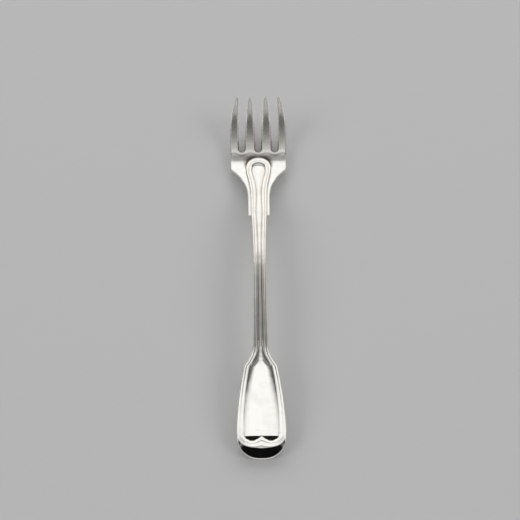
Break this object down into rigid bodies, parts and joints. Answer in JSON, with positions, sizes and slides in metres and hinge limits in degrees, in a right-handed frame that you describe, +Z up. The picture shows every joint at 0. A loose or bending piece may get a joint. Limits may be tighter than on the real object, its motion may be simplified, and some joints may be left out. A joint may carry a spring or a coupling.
{
  "type": "fork",
  "caption": "Child's silver table fork with short pointed tines, a slim threaded stem and a fiddle shaped handle with a double-thread border round a bare panel.",
  "frame": {"origin": "middle of the fork's bounding box, on the table it rests on", "axes": "+Y along the fork towards the tips of the tines, +Z up with the fork lying tines up, +X to the right"},
  "size_m": [0.0208, 0.142, 0.0101],
  "materials": {
    "silver": "hand polished sterling silver"
  },
  "bodies": {
    "root": {"left_outer_tine": "silver", "left_inner_tine": "silver", "right_inner_tine": "silver", "right_outer_tine": "silver", "palm": "silver", "neck": "silver", "thread_loop": "silver", "stem": "silver", "handle": "silver"}
  },
  "joints": []
}
